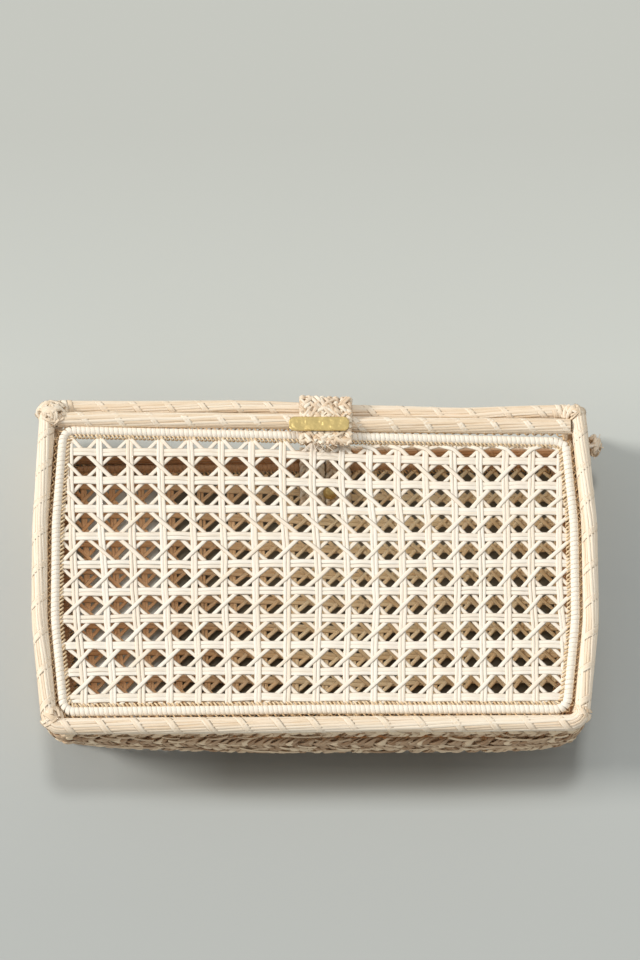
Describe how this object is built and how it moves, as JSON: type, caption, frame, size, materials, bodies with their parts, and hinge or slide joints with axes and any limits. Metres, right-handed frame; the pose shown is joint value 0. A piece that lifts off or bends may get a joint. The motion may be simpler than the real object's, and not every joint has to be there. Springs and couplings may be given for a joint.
{
  "type": "straw clutch",
  "caption": "Rectangular straw clutch with open cane panels in straw roll frames, a plaited gusset, an open mouth and a closing strap with a plain brass bar.",
  "frame": {"origin": "bottom centre of the whole bag's box, on the surface that its back lies on", "axes": "+Z from the bag's back to its front, +Y from its bottom to its open mouth, +X to the right across its width"},
  "size_m": [0.2872, 0.176, 0.0649],
  "materials": {
    "straw_roll": "satin",
    "wrapped_rod": "satin",
    "cane_strip": "satin",
    "straw_plait": "matte",
    "strap_weave": "matte",
    "brass": "satin",
    "magnet": "satin"
  },
  "bodies": {
    "bag": {"front_frame_roll": "straw_roll", "front_top_roll": "straw_roll", "front_inner_rod": "wrapped_rod", "front_cane_panel": "cane_strip", "back_frame_roll": "straw_roll", "back_top_roll": "straw_roll", "back_inner_rod": "wrapped_rod", "back_cane_panel": "cane_strip", "gusset_plait_1": "straw_plait", "gusset_plait_2": "straw_plait", "gusset_plait_3": "straw_plait", "gusset_plait_4": "straw_plait", "mouth_rim_roll": "straw_roll", "side_knot": "wrapped_rod", "strap_root": "strap_weave", "anchor_stud": "brass", "stud_washer": "brass", "roll_magnet": "magnet"},
    "strap": {"closure_strap": "strap_weave", "strap_magnet": "magnet", "brass_bar": "brass"}
  },
  "joints": [
    {"name": "strap_fold", "type": "hinge", "parent": "bag", "child": "strap", "pos_m": [0.0025, 0.0784, 0.00965], "axis": [-1, 0, 0], "range_deg": [0, 90]}
  ]
}
